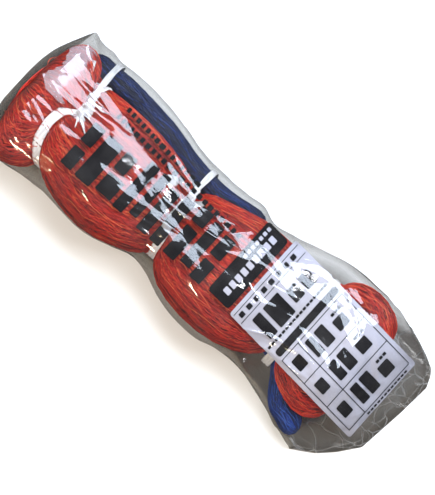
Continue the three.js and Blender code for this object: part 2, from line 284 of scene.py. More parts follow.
def catmull(values, at, wrap):
    """Values between the rows of an array, on a smooth curve through them."""
    n = len(values)
    i = np.floor(at).astype(int)
    t = (at - i)[:, None]
    t = t.reshape(t.shape + (1,) * (values.ndim - 2))
    pick = (lambda j: values[j % n]) if wrap else (lambda j: values[np.clip(j, 0, n - 1)])
    p0, p1, p2, p3 = (pick(i + j) for j in (-1, 0, 1, 2))
    square = 2 * p0 - 5 * p1 + 4 * p2 - p3
    cube = 3 * p1 - p0 - 3 * p2 + p3
    return 0.5 * (2 * p1 + (p2 - p0) * t + square * t**2 + cube * t**3)


def swell(x, start, end):
    """One hump between two places along the hank."""
    return np.sin(np.pi * np.clip((x - start) / (end - start), 0, 1)) ** 2


# Leans to the sides, (most millimetres, start, end) along the hank: of bag and hank, then of one of them
RIGHT_LEANS = ((3.4, -5, 125), (-4, 128, 195), (5, 205, 290))
LEFT_LEANS = ((9, -24, 20),)
BAG_LEFT_LEANS = ((7.5, 225, 325),)
BAG_CORNER_LEANS = ((6, -4, 26),)
HANK_LEFT_LEANS = ((-7, 268, 335), (-2.0, -12, 58), (-2, 60, 135))


def leans(x, humps):
    return sum(most * swell(x, start, end) for most, start, end in humps)


def settled(points, bag=False):
    """The points with the leans of the bag or of what lies in it."""
    points = np.array(points, float)
    x, y = points[..., 0], points[..., 1]
    right, left = smooth((y - 5) / 35), smooth((-y - 20) / 40)
    push = leans(x, RIGHT_LEANS) * right + leans(x, LEFT_LEANS) * left
    if bag:
        push += leans(x, BAG_LEFT_LEANS) * left + leans(x, BAG_CORNER_LEANS) * right**2
    else:
        push += leans(x, HANK_LEFT_LEANS) * left
    points[..., 1] += push
    return points


# Meshes
def new_mesh(name, verts, faces, material, replaces=(), slot=None, closed=True, settle=True):
    """A mesh from points in millimetres; an open sheet (closed=False) is turned to face up."""
    mesh = bpy.data.meshes.new(name)
    verts = np.asarray(verts, float).reshape(-1, 3)
    verts = ((settled(verts) if settle else verts) + SHIFT) / 1000
    faces = np.asarray(faces)
    mesh.vertices.add(len(verts))
    mesh.vertices.foreach_set("co", verts.ravel())
    corners = [verts[faces[:, i]] for i in range(3)]
    turned = np.cross(corners[1] - corners[0], corners[2] - corners[0])
    volume = (turned * corners[0]).sum() if closed else turned[:, 2].sum()
    if volume < 0:
        faces = np.ascontiguousarray(faces[:, ::-1])
    size = faces.shape[1]
    mesh.loops.add(faces.size)
    mesh.loops.foreach_set("vertex_index", faces.ravel())
    mesh.polygons.add(len(faces))
    mesh.polygons.foreach_set("loop_start", np.arange(0, faces.size, size))
    mesh.polygons.foreach_set("loop_total", np.full(len(faces), size))
    mesh.polygons.foreach_set("use_smooth", np.ones(len(faces), bool))
    mesh.update(calc_edges=True)
    mesh.validate()
    mesh.materials.append(material)
    obj = bpy.data.objects.new(name, mesh)
    bpy.context.scene.collection.objects.link(obj)
    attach(obj, "root")
    if replaces:
        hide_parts(*replaces)
    return obj


def grid_faces(rows, columns, wrap):
    r = np.arange(rows - 1)[:, None] * columns
    c = np.arange(columns if wrap else columns - 1)
    n = (c + 1) % columns
    return np.stack([r + c, r + columns + c, r + columns + n, r + n], -1).reshape(-1, 4)


def split(quads):
    """Two triangles for each quad."""
    return np.concatenate([quads[:, [0, 1, 2]], quads[:, [0, 2, 3]]])


def closed_rings(points):
    """A closed surface through rings, with a fan at each end."""
    rows, columns = points.shape[:2]
    i = np.arange(columns)
    n = (i + 1) % columns
    top, far = rows * columns, (rows - 1) * columns
    first = np.stack([np.full(columns, top), i, n], 1)
    last = np.stack([np.full(columns, top + 1), n + far, i + far], 1)
    verts = np.concatenate([points.reshape(-1, 3), points[[0, -1]].mean(1)])
    return verts, np.concatenate([split(grid_faces(rows, columns, True)), first, last])


def thin_solid(upper, lower):
    """The closed solid between two grids of points."""
    loop = np.concatenate([upper, lower[:, ::-1]], 1)
    rows, n = loop.shape[:2]
    e = (rows - 1) * n
    caps = []
    for i in range(n // 2 - 1):
        caps.append((i, i + 1, n - 2 - i, n - 1 - i))
        caps.append((e + n - 1 - i, e + n - 2 - i, e + i + 1, e + i))
    return loop.reshape(-1, 3), split(np.concatenate([grid_faces(rows, n, True), np.array(caps)]))


def join_parts(parts):
    verts, faces, start = [], [], 0
    for v, f in parts:
        verts.append(v)
        faces.append(f + start)
        start += len(v)
    return np.concatenate(verts), np.concatenate(faces)


def tubes(paths, radius, sides=3):
    """Closed strands along paths [strand, point, xyz]."""
    count, length = paths.shape[:2]
    along = unit(np.gradient(paths, axis=1))
    a = unit(np.cross(along, np.array([0.13, 0.21, 0.97])))
    b = np.cross(along, a)
    turn = (TAU * np.arange(sides) / sides)[:, None]
    verts = paths[:, :, None] + radius * (a[:, :, None] * np.cos(turn) + b[:, :, None] * np.sin(turn))
    starts = (np.arange(count) * length * sides)[:, None, None]
    walls = split((grid_faces(length, sides, True) + starts).reshape(-1, 4))
    fan = np.stack([np.zeros(sides - 2, int), np.arange(1, sides - 1), np.arange(2, sides)], 1)
    caps = np.concatenate([fan, fan[:, ::-1] + (length - 1) * sides]) + starts
    return verts.reshape(-1, 3), np.concatenate([walls, caps.reshape(-1, 3)])


def add_tone(obj, tones, name="tone"):
    """Values kept on the points: one for all, or one for each equal run of points."""
    tones = np.atleast_1d(tones)
    run = len(obj.data.vertices) // len(tones)
    layer = obj.data.attributes.new(name, "FLOAT", "POINT")
    layer.data.foreach_set("value", np.repeat(tones, run).astype(np.float32))


# Materials
def material(name):
    mat = bpy.data.materials.new(name)
    mat.use_nodes = True
    nodes, links = mat.node_tree.nodes, mat.node_tree.links
    return mat, nodes, links, nodes["Principled BSDF"], nodes["Material Output"]


def node(nodes, kind, **values):
    n = nodes.new(kind)
    for key, value in values.items():
        if hasattr(n, key):
            setattr(n, key, value)
        else:
            n.inputs[key.replace("_", " ")].default_value = value
    return n


def ramp(nodes, links, value, stops):
    n = nodes.new("ShaderNodeValToRGB")
    elements = n.color_ramp.elements
    while len(elements) < len(stops):
        elements.new(0.5)
    for e, (at, colour) in zip(elements, stops):
        e.position = at
        e.color = (*colour, 1)
    links.new(value, n.inputs["Fac"])
    return n.outputs["Color"]


def mapped(nodes, links, scale, rotation=(0, 0, 0)):
    coordinates = node(nodes, "ShaderNodeTexCoord")
    mapping = node(nodes, "ShaderNodeMapping")
    mapping.inputs["Scale"].default_value = scale
    mapping.inputs["Rotation"].default_value = rotation
    links.new(coordinates.outputs["Object"], mapping.inputs["Vector"])
    return mapping.outputs["Vector"]


def noise(nodes, links, scale, stretch=(1, 1, 1), detail=2.0, roughness=0.5, turned=(0, 0, 0), output="Fac"):
    n = node(nodes, "ShaderNodeTexNoise", Scale=scale, Detail=detail, Roughness=roughness)
    links.new(mapped(nodes, links, stretch, turned), n.inputs["Vector"])
    return n.outputs[output]


def ranged(nodes, links, value, to, span=(0.0, 1.0)):
    """A value carried over from one span to another."""
    n = node(nodes, "ShaderNodeMapRange", From_Min=span[0], From_Max=span[1], To_Min=to[0], To_Max=to[1])
    links.new(value, n.inputs["Value"])
    return n.outputs["Result"]


def scaled_sum(nodes, links, value, factor, rest, **more):
    """value * factor + rest."""
    n = node(nodes, "ShaderNodeMath", operation="MULTIPLY_ADD", **more)
    n.inputs[1].default_value = factor
    links.new(value, n.inputs[0])
    links.new(rest, n.inputs[2])
    return n.outputs[0]


def bumped(nodes, links, height, strength, distance):
    n = node(nodes, "ShaderNodeBump", Strength=strength, Distance=distance)
    links.new(height, n.inputs["Height"])
    return n.outputs["Normal"]


def blended(nodes, links, share, first, second):
    n = node(nodes, "ShaderNodeMixShader")
    links.new(share, n.inputs["Fac"])
    links.new(first, n.inputs[1])
    links.new(second, n.inputs[2])
    return n.outputs["Shader"]


def twine_material(name, stops, sheen_colour):
    """Fine plastic twine: each strand has its own tone, with small lengthwise flecks."""
    mat, nodes, links, p, out = material(name)
    tone = node(nodes, "ShaderNodeAttribute", attribute_name="tone")
    streak = noise(nodes, links, 1.0, (60, 1400, 1400), 5.0, 0.65)
    patch = noise(nodes, links, 38.0)
    flecked = scaled_sum(nodes, links, streak, 0.55, tone.outputs["Fac"])
    shift = node(nodes, "ShaderNodeMath", operation="SUBTRACT")
    shift.inputs[1].default_value = 0.45
    links.new(scaled_sum(nodes, links, patch, 0.35, flecked), shift.inputs[0])
    links.new(ramp(nodes, links, shift.outputs[0], stops), p.inputs["Base Color"])
    links.new(ranged(nodes, links, streak, (0.28, 0.53)), p.inputs["Roughness"])
    links.new(bumped(nodes, links, streak, 0.5, 0.0003), p.inputs["Normal"])
    p.inputs["Sheen Weight"].default_value = 0.04
    p.inputs["Sheen Roughness"].default_value = 0.4
    p.inputs["Sheen Tint"].default_value = (*sheen_colour, 1)
    p.inputs["Specular IOR Level"].default_value = 0.45
    return mat


red = twine_material(
    "red_twine",
    [
        (0.0, (0.07, 0.002, 0.003)),
        (0.3, (0.32, 0.008, 0.006)),
        (0.55, (0.62, 0.02, 0.011)),
        (0.84, (0.78, 0.042, 0.017)),
        (1.0, (0.9, 0.17, 0.055)),
    ],
    (1.0, 0.5, 0.3),
)
blue = twine_material(
    "blue_twine",
    [
        (0.0, (0.003, 0.008, 0.035)),
        (0.4, (0.006, 0.024, 0.13)),
        (0.7, (0.008, 0.05, 0.36)),
        (1.0, (0.05, 0.16, 0.62)),
    ],
    (0.5, 0.7, 1.0),
)


def film_facets(nodes, links):
    """The coordinates of a stretched pattern of cells, and a normal that leans differently in each cell."""
    wander_by = node(nodes, "ShaderNodeVectorMath", operation="MULTIPLY_ADD")
    wander_by.inputs[1].default_value = (0.03, 0.03, 0.03)
    links.new(noise(nodes, links, 22.0, output="Color"), wander_by.inputs[0])
    coordinates = node(nodes, "ShaderNodeTexCoord")
    links.new(coordinates.outputs["Object"], wander_by.inputs[2])
    stretch = node(nodes, "ShaderNodeMapping", Scale=(38, 85, 85), Rotation=(0, 0, 0.25))
    links.new(wander_by.outputs[0], stretch.inputs["Vector"])
    cells = node(nodes, "ShaderNodeTexVoronoi", Scale=1.0)
    links.new(stretch.outputs["Vector"], cells.inputs["Vector"])
    middle = node(nodes, "ShaderNodeVectorMath", operation="SUBTRACT")
    middle.inputs[1].default_value = (0.5, 0.5, 0.5)
    links.new(cells.outputs["Color"], middle.inputs[0])
    crinkle = noise(nodes, links, 1.0, (60, 200, 200), 3.0, 0.5, (0, 0, 0.2))
    lean_by = node(nodes, "ShaderNodeVectorMath", operation="MULTIPLY_ADD")
    lean_by.inputs[1].default_value = (0.16, 0.16, 0.16)
    links.new(middle.outputs[0], lean_by.inputs[0])
    links.new(bumped(nodes, links, crinkle, 0.3, 0.0005), lean_by.inputs[2])
    even = node(nodes, "ShaderNodeVectorMath", operation="NORMALIZE")
    links.new(lean_by.outputs[0], even.inputs[0])
    return stretch.outputs["Vector"], even.outputs[0]


def film_material():
    """Clear film, a little smoky: it mirrors the lamps in small flat facets and lets the rest through."""
    mat, nodes, links, p, out = material("clear_film")
    pattern, normal = film_facets(nodes, links)
    cloud = noise(nodes, links, 45.0, (1, 1, 1), 4.0, 0.6)
    # Painted shade, read from the points: the film is greyer and mirrors less low down and on its steep sides
    painted_shade = node(nodes, "ShaderNodeAttribute", attribute_name="tone").outputs["Fac"]
    p.inputs["Base Color"].default_value = (0.9, 0.93, 1.0, 1)
    p.inputs["Metallic"].default_value = 1.0
    links.new(ranged(nodes, links, cloud, (0.04, 0.14), (0.35, 0.7)), p.inputs["Roughness"])
    links.new(normal, p.inputs["Normal"])

    # How much it mirrors: a little everywhere, a little less where shade is painted on low and steep film,
    # and more where it is seen at a slant
    facing = node(nodes, "ShaderNodeLayerWeight", Blend=0.5)
    links.new(normal, facing.inputs["Normal"])
    steep = node(nodes, "ShaderNodeMath", operation="POWER")
    steep.inputs[1].default_value = 4.0
    links.new(facing.outputs["Facing"], steep.inputs[0])
    steady = ranged(nodes, links, painted_shade, (0.06, 0.045))
    gloss = scaled_sum(nodes, links, steep.outputs[0], 0.05, steady, use_clamp=True)

    # What it lets through: greyer with the smoky cloud, and greyer still where shade is painted on low and
    # steep film
    clear = node(nodes, "ShaderNodeBsdfTransparent")
    smoke_and_painted_shade = scaled_sum(nodes, links, cloud, 0.35, painted_shade)
    smoke_and_shade_greys = [(0.1, (0.84, 0.835, 0.825)), (0.3, (0.75, 0.745, 0.73)), (1.0, (0.49, 0.475, 0.455))]
    links.new(ramp(nodes, links, smoke_and_painted_shade, smoke_and_shade_greys), clear.inputs["Color"])
    shine = blended(nodes, links, gloss, clear.outputs["BSDF"], p.outputs["BSDF"])

    # A faint haze, and thin pale creases between the facets where the film hangs loose
    haze = node(nodes, "ShaderNodeBsdfPrincipled", Base_Color=(0.5, 0.5, 0.5, 1), Roughness=0.45)
    creases = node(nodes, "ShaderNodeTexVoronoi", feature="DISTANCE_TO_EDGE", Scale=1.0)
    links.new(pattern, creases.inputs["Vector"])
    crumpled = node(nodes, "ShaderNodeAttribute", attribute_name="crumpled")
    loose = node(nodes, "ShaderNodeMath", operation="MULTIPLY_ADD", use_clamp=True)
    links.new(ranged(nodes, links, creases.outputs["Distance"], (0.42, 0.0), (0.0, 0.045)), loose.inputs[0])
    links.new(crumpled.outputs["Fac"], loose.inputs[1])
    links.new(ranged(nodes, links, cloud, (0.0, 0.025), (0.4, 0.75)), loose.inputs[2])
    links.new(blended(nodes, links, loose.outputs[0], shine, haze.outputs["BSDF"]), out.inputs["Surface"])
    return mat


def ink_material(name, colour, spread):
    mat, nodes, links, p, out = material(name)
    grain = noise(nodes, links, 900.0, detail=3.0)
    both = node(nodes, "ShaderNodeMath", operation="MULTIPLY")
    links.new(grain, both.inputs[0])
    links.new(noise(nodes, links, 45.0), both.inputs[1])
    stops = [(0.1, tuple(c * (1 - spread) for c in colour)), (0.45, colour)]
    links.new(ramp(nodes, links, both.outputs[0], stops), p.inputs["Base Color"])
    links.new(ranged(nodes, links, grain, (0.35, 0.6)), p.inputs["Roughness"])
    p.inputs["Specular IOR Level"].default_value = 0.1
    return mat


def thin_ridges(nodes, links, p, out, lines, solid, strength):
    """Fine ridges on a tape that is a little see-through: solid is how much of it covers, from and to."""
    links.new(bumped(nodes, links, lines, strength, 0.0004), p.inputs["Normal"])
    clear = node(nodes, "ShaderNodeBsdfTransparent")
    covers = ranged(nodes, links, lines, solid, (0.3, 0.7))
    links.new(blended(nodes, links, covers, clear.outputs["BSDF"], p.outputs["BSDF"]), out.inputs["Surface"])


def tape_material():
    mat, nodes, links, p, out = material("white_tape")
    lines = noise(nodes, links, 1.0, (700, 120, 120), 4.0, 0.6)
    stops = [(0.3, (0.7, 0.71, 0.76)), (0.55, (0.84, 0.85, 0.89)), (0.75, (0.93, 0.93, 0.96))]
    links.new(ramp(nodes, links, lines, stops), p.inputs["Base Color"])
    p.inputs["Roughness"].default_value = 0.35
    p.inputs["Coat Weight"].default_value = 0.3
    p.inputs["Coat Roughness"].default_value = 0.2
    thin_ridges(nodes, links, p, out, lines, (0.9, 1.0), 0.6)
    return mat


def veil_material():
    mat, nodes, links, p, out = material("thin_spread_tape")
    lines = noise(nodes, links, 1.0, (120, 420, 420), 5.0, 0.6)
    # The pinkish base colour is painted light: the red netting's light showing through the thin white tape
    p.inputs["Base Color"].default_value = (0.74, 0.66, 0.75, 1)
    p.inputs["Roughness"].default_value = 0.55
    p.inputs["Specular IOR Level"].default_value = 0.25
    thin_ridges(nodes, links, p, out, lines, (0.2, 0.36), 0.5)
    return mat


film = film_material()
tape = tape_material()
black_ink = ink_material("black_ink", (0.006, 0.005, 0.008), 0.4)
white_ink = ink_material("white_ink", (0.52, 0.52, 0.63), 0.14)

# How far each tape leans along the hank, at angles round it
LEAN_ANGLES = np.array([0, 0.8, 1.1, 1.45, 2.0, 2.5, 2.9, 3.3, 3.8, TAU])
LEANS = {
    1: np.array([0, 6, 9, -4, -6, -4, 3, 8, 5, 0.0]),
    2: np.array([0, 3, 3, 2, 4, 6, 7, 6, 3, 0.0]),
    3: np.array([0, 0, -1, -3, -1, 1, 0, 0, 0, 0.0]),
}


def lean(k, angle):
    """A tape's lean at an angle, rounded off between the table's places."""
    fine = np.linspace(0, TAU, 361)
    line = np.interp(fine, LEAN_ANGLES, LEANS[k])
    weights = np.hanning(27)
    line = np.convolve(np.concatenate([line[-14:-1], line, line[1:14]]), weights / weights.sum(), "valid")
    return np.interp(np.asarray(angle) % TAU, fine, line)


def pulled(points, angle):
    """Twine follows the tapes' lean near each waist."""
    points = points.copy()
    x = points[..., 0].copy()
    for k in (1, 2, 3):
        beyond = np.maximum(0, np.abs(x - WAIST_X[k]) - 5)
        points[..., 0] += lean(k, angle) * np.exp(-((beyond / 14) ** 2))
    return points


# The red netting: a core of packed twine, then strands that run from end to end and wander over each other
core_x = np.concatenate([np.linspace(LOBE_START[k], LOBE_END[k], 22) for k in range(4)])
core_x, core_a = np.meshgrid(core_x, TAU * np.arange(96) / 96, indexing="ij")
lump = 0.5 * np.sin(5 * core_a + core_x / 17) + 0.4 * np.sin(9 * core_a - core_x / 11 + 1)
sunk = 1.8 - 0.6 * lump + (1 - dome(core_x)) * netting_radius(core_x, core_a)
core = pulled(netting_point(core_x, core_a, -sunk), core_a)
core[..., 2] = np.maximum(core[..., 2], REST)
net_core = new_mesh(
    "red_netting_core", *closed_rings(core), red, replaces=("red_netting",), slot="red_netting"
)
# The core gets the darkest tone: painted shade under the strands
add_tone(net_core, -0.1)


def stations(per_lobe):
    t = (1 - np.cos(np.pi * np.arange(per_lobe + 1) / per_lobe)) / 2
    return np.concatenate([mix(LOBE_START[k], LOBE_END[k], t) for k in range(4)])


def wander(count, x, amplitude, waves):
    total = np.zeros((count, len(x)))
    for length in waves:
        phase = rng.uniform(0, TAU, (count, 1))
        scale = rng.uniform(0.4, 1.3, (count, 1))
        size = amplitude * rng.uniform(0.2, 1, (count, 1))
        total += size * np.sin(TAU * x[None] / (length * scale) + phase)
    return total


def red_strands(name, count, depth, amplitude, thick, tones, per_lobe=11):
    x = stations(per_lobe)
    angle0 = TAU * (np.arange(count) + rng.uniform(-0.4, 0.4, count)) / count
    angle = angle0[:, None] + wander(count, x, amplitude, (160, 70, 34)) / 45
    sink = depth * rng.uniform(0, 1, (count, 1)) + wander(count, x, 0.35, (60, 25))
    xs = np.broadcast_to(x, angle.shape) + wander(count, x, 0.6, (50,))
    xs = np.clip(xs, 0, HANK_END)
    inward = 0.35 + np.maximum(sink, 0) + (1 - dome(xs)) * netting_radius(xs, angle)
    paths = pulled(netting_point(xs, angle, -inward), angle)
    paths[..., 2] = np.maximum(paths[..., 2], REST + thick)
    add_tone(new_mesh(name, *tubes(paths, thick / 2), red, slot="red_netting"), tones(count))


# The inner strands, lying deeper, get darker tones than the outer ones: painted shade in the depth of the
# hank
red_strands("red_netting_twine_inner", 640, 1.4, 2.0, 0.52, lambda n: rng.normal(0.3, 0.22, n))
red_strands("red_netting_twine_outer", 640, 0.4, 3.6, 0.4, lambda n: rng.normal(0.62, 0.3, n))


# Loops where the net turns back at both ends: up one side, across the end and down the other side
def end_loops(name, head, count):
    side_steps, cross_steps = 6, 15
    paths = []
    for _ in range(count):
        a = rng.uniform(0, TAU)
        b = a + math.pi + rng.normal(0, 0.8)
        depth = rng.uniform(0.3, 1.6)
        run = np.linspace(15, DOME * 0.5, side_steps)
        sides = []
        for angle in (a, b):
            x = run if head else HANK_END - run
            inward = depth + (1 - dome(x)) * netting_radius(x, angle)
            angles = np.full(side_steps, angle)
            sides.append(pulled(netting_point(x, angles, -inward), angles))
        start, end = sides[0][-1], sides[1][-1]
        t = np.linspace(0, 1, cross_steps + 2)[1:-1, None]
        across = mix(start, end, t)
        centre = np.array([0, *(float(v) for v in netting_centre(0.0 if head else HANK_END))])
        bow = np.cross([1, 0, 0], end - start) * rng.normal(0, 0.12) * np.sin(np.pi * t)
        across += bow
        rise = np.sin(np.pi * t[:, 0]) ** 1.2 * (DOME * 0.5 - 0.6 + rng.uniform(-1.6, 0.8))
        across[:, 0] += -rise if head else rise
        across[:, 1:] += 0.16 * np.sin(np.pi * t) ** 0.5 * (centre[1:] - across[:, 1:])
        paths.append(np.concatenate([sides[0], across, sides[1][::-1]]))
    paths = np.array(paths)
    paths[..., 2] = np.maximum(paths[..., 2], REST + 0.4)
    add_tone(new_mesh(name, *tubes(paths, 0.34), red, slot="red_netting"), rng.normal(0.5, 0.26, count))


end_loops("red_netting_head_loops", True, 260)
end_loops("red_netting_tail_loops", False, 300)

# The blue edge: a core and strands on its own line
bx = EDGE_START + (EDGE_END - EDGE_START) * (1 - np.cos(np.pi * np.arange(71) / 70)) / 2
bx = mix(bx, np.linspace(EDGE_START, EDGE_END, 71), 0.6)


def edge_point(x, angle, share, sink=0.0):
    y, z, w, h = edge_at(x)
    w, h = np.maximum(w - sink, 0.3), np.maximum(h - sink, 0.3)
    return np.stack(np.broadcast_arrays(x, y + share * w * np.cos(angle), z + share * h * np.sin(angle)), -1)


BLUE_STRANDS = 300
core = edge_point(*np.meshgrid(bx, TAU * np.arange(28) / 28, indexing="ij"), 0.88)
blue_core = new_mesh(
    "blue_edge_core", *closed_rings(core), blue, replaces=("blue_edge_netting",), slot="blue_netting"
)
add_tone(blue_core, 0.15)
b_angle = TAU * np.arange(BLUE_STRANDS)[:, None] / BLUE_STRANDS
b_angle = b_angle + wander(BLUE_STRANDS, bx, 2.4, (150, 60, 30)) / 10
b_sink = 0.4 + 1.1 * rng.uniform(0, 1, (BLUE_STRANDS, 1))
b_paths = edge_point(np.broadcast_to(bx, b_angle.shape), b_angle, 1.0, b_sink)
blue_twine = new_mesh("blue_edge_twine", *tubes(b_paths, 0.28), blue, slot="blue_netting")
# The strands get lighter towards the tail end: painted light on the part of the blue edge that lies in the
# light
blue_tone_and_painted_light = rng.normal(0.17, 0.17, (BLUE_STRANDS, 1)) + 0.42 * smooth((bx - 215) / 50)[None]
add_tone(blue_twine, blue_tone_and_painted_light.ravel())


# The tapes: a crinkled band round each waist, then a knot with its tails
def held_outline(k, offset, count=144):
    x = WAIST_X[k]
    outline = hull(np.concatenate([contents_outline(s) for s in (x - 4, x, x + 4)]))
    a = TAU * np.arange(count) / count
    support = (outline @ np.stack([np.cos(a), np.sin(a)])).max(0) + offset
    n = np.roll(support, -1)
    da = TAU / count
    b = a + da
    det = np.cos(a) * np.sin(b) - np.sin(a) * np.cos(b)
    y = (support * np.sin(b) - n * np.sin(a)) / det
    z = (n * np.cos(a) - support * np.cos(b)) / det
    path = np.stack([y, z], 1)
    steps = np.linalg.norm(np.roll(path, -1, axis=0) - path, axis=1)
    s = np.concatenate([[0], np.cumsum(steps)])
    closed = np.concatenate([path, path[:1]])
    even = np.linspace(0, s[-1], count, endpoint=False)
    out = np.stack([np.interp(even, s, closed[:, 0]), np.interp(even, s, closed[:, 1])], 1)
    for _ in range(3):
        out = (np.roll(out, 1, axis=0) + 2 * out + np.roll(out, -1, axis=0)) / 4
    return out


def band(k, label):
    """A crinkled flat tape round a waist, closed in a ring."""
    outline = held_outline(k, 1.8)
    count = len(outline)
    width = np.linspace(-1, 1, 9)
    turn = TAU * np.arange(count) / count
    half = 3.3 + 0.35 * np.sin(3 * turn + k) + 0.3 * np.sin(7 * turn + 2 * k) - 1.1 * (outline[:, 0] > 24)
    away = outline - middle_at(WAIST_X[k])
    leaning = lean(k, np.arctan2(away[:, 1], away[:, 0])) + 0.6 * np.sin(2 * turn + k)
    normal = np.roll(outline, -1, axis=0) - np.roll(outline, 1, axis=0)
    normal = unit(np.stack([normal[:, 1], -normal[:, 0]], 1))
    crease = 0.28 * np.cos(2.5 * np.pi * width + 3 * np.sin(4 * turn)[:, None]) * (1 - 0.5 * width**2)
    x = WAIST_X[k] + leaning[:, None] + half[:, None] * width
    rows = []
    for side in (0.16, -0.16):
        yz = outline[:, None] + normal[:, None] * (crease + side)[..., None]
        rows.append(np.concatenate([x[..., None], yz], -1))
    loop = np.concatenate([rows[0], rows[1][:, ::-1]], 1)
    loop[..., 2] = np.maximum(loop[..., 2], FILM + 0.1)
    n = loop.shape[1]
    row, column = np.arange(count)[:, None] * n, np.arange(n)
    next_row, next_column = np.roll(row, -1, axis=0), np.roll(column, -1)
    quads = np.stack([row + column, row + next_column, next_row + next_column, next_row + column], -1)
    quads = quads.reshape(-1, 4)
    new_mesh(f"{label}_tie_band", loop, quads, tape, replaces=(f"{label}_tie_tape",), slot="tape")


def ribbon(path, normals, half, phase):
    """A closed thin strip along a path; half is its half width at each point."""
    path, normals = np.asarray(path, float), np.asarray(normals, float)
    across = unit(np.cross(np.gradient(path, axis=0), normals))
    w = np.linspace(-1, 1, 5)
    s = np.arange(len(path))[:, None]
    wave = 0.25 * np.sin(3.1 * w + 0.8 * s + phase) + 0.125 * np.sin(0.37 * s + 5 * w + phase)
    middle = path[:, None] + across[:, None] * (half[:, None] * w)[..., None]
    return thin_solid(*(middle + normals[:, None] * (wave + side)[..., None] for side in (0.12, -0.12)))


def knot(k, angle):
    """A crumpled knot on the band, in the angle's direction from the middle of the hank."""
    outline = held_outline(k, 0)
    away = outline - middle_at(WAIST_X[k])
    angles = np.arctan2(away[:, 1], away[:, 0])
    nearest = np.argmin(np.abs(angles - angle))
    out = np.array([0, math.cos(angle), math.sin(angle)])
    along, around = np.array([1.0, 0, 0]), np.array([0, -out[2], out[1]])
    seat = np.array([WAIST_X[k] + lean(k, angles[nearest]), *outline[nearest]]) + out * 2.2
    v, u = np.meshgrid(np.linspace(0.02, math.pi - 0.02, 28), TAU * np.arange(44) / 44, indexing="ij")
    size = 1 + 0.34 * np.abs(np.sin(3 * u + 2 * v)) - 0.3 * np.abs(np.sin(5 * u - 3 * v + k))
    size += 0.14 * np.sin(9 * v + 2 * u)
    return closed_rings(
        seat
        + (4.4 * size * np.sin(v) * np.cos(u))[..., None] * along
        + (5.4 * size * np.cos(v))[..., None] * around
        + (2.1 * size * np.sin(v) * np.sin(u))[..., None] * out
    )


def on_contents(x, angle, lift):
    """The place over netting and blue hank in an angle's direction, and that direction."""
    out = np.array([0, math.cos(angle), math.sin(angle)])
    r = contents_radius(x, np.array([angle]))[0] + lift
    return np.array([x, *middle_at(x)]) + r * out, out


def tail_strip(start, end, bend, half0, half1, lift, phase):
    """A strip of tape over the hank between two places (x, angle)."""
    t = np.linspace(0, 1, 24)
    path, normals = [], []
    for u in t:
        x, angle = mix(start[0], end[0], u), mix(start[1], end[1], u) + bend * math.sin(math.pi * u)
        point, out = on_contents(x, angle, lift + 1.2 * (1 - u) + 0.4 * math.sin(9 * u + phase))
        path.append(point)
        normals.append(out)
    return ribbon(path, normals, mix(half0, half1, t) * (1 + 0.15 * np.sin(11 * t + phase)), phase)


def strips(k, angle):
    """The ends that leave each knot: (x, angle) from and to, bend, half widths."""
    x = WAIST_X[k]
    if k == 1:
        ends = [
            ((x + 2, angle - 0.25), (x - 13, 0.42), 0.1, 1.6, 2.6),
            ((x + 1, angle - 0.25), (x + 9, 0.3), -0.05, 1.2, 2.2),
        ]
        for j in range(11):
            far = (x + 3 + 8 + 9 * rng.uniform(), angle - 0.15 + 0.07 * j)
            ends.append(((x + 3, angle + 0.03 * j - 0.1), far, 0.03 * rng.normal(), 1.0, 0.4))
        return ends
    return [
        ((x - 2, angle), (x - 17, angle - 0.18), 0.08, 2.4, 4.4),
        ((x + 1, angle), (x + 12, angle - 0.2), 0.05, 2.2, 2.8),
        ((x - 2, angle + 0.1), (x - 9, angle + 0.3), 0.05, 1.6, 1.0),
    ]


for k, label, angle in TAPES:
    band(k, label)
    parts = [knot(k, angle)]
    for j, strip in enumerate(strips(k, angle)):
        parts.append(tail_strip(*strip, 0.7 + 0.05 * j, 1.7 * j))
    new_mesh(f"{label}_tie_knot", *join_parts(parts), tape, slot="tape")


def spread_end(rows=40, columns=48):
    """The head tape's long end, spread out thin over the head of the hank: its upper and its lower face."""
    w = np.linspace(-1, 1, columns)
    faces = np.zeros((2, rows, columns, 3))
    for i, u in enumerate(np.linspace(0, 1, rows)):
        x = mix(WAIST_X[1] - 1, 9.0, u)
        opened = math.sin(min(1, u * 1.8 + 0.35) * math.pi / 2)
        closing_in = 1 - 0.35 * max(0, u - 0.7) / 0.3
        a = 0.86 + np.linspace(-0.62, 0.58, columns) * opened * closing_in
        ruffle = 0.13 * np.sin(14 * w + 5 * u) * (0.4 + u) + 0.08 * np.sin(31 * w - 9 * u)
        reach = x + 2.2 * np.cos(3.1 * w) * u + 0.5 * np.sin(17 * w)
        cy, cz = middle_at(x)
        for side, extra in enumerate((0.12, 0.0)):
            r = contents_radius(x, a % TAU) + 0.75 + ruffle + extra
            faces[side, i] = np.stack([reach, cy + r * np.cos(a), cz + r * np.sin(a)], 1)
    return faces


new_mesh("head_tie_spread_end", *thin_solid(*spread_end()), veil_material(), slot="tape")

# The film: the bag's rings made smooth, with folds that run out from the waists and creases between facets
ROWS, COLUMNS = 364, 264
turns = np.concatenate(
    [np.linspace(0, 0.5, 2 * COLUMNS // 3, endpoint=False), np.linspace(0.5, 1, COLUMNS // 3, endpoint=False)]
)
turns = (turns - 0.02) % 1
grid = catmull(RINGS, np.linspace(0, len(RINGS) - 1, ROWS), False)
grid = catmull(grid.transpose(1, 0, 2), turns * AROUND, True).transpose(1, 0, 2)
row_x = grid[..., 0].mean(1)
A = np.broadcast_to(TAU * turns, (ROWS, COLUMNS))
U = grid[..., 0]
MEAN_RADIUS = 42.0
V = A * MEAN_RADIUS
FULL = TAU * MEAN_RADIUS


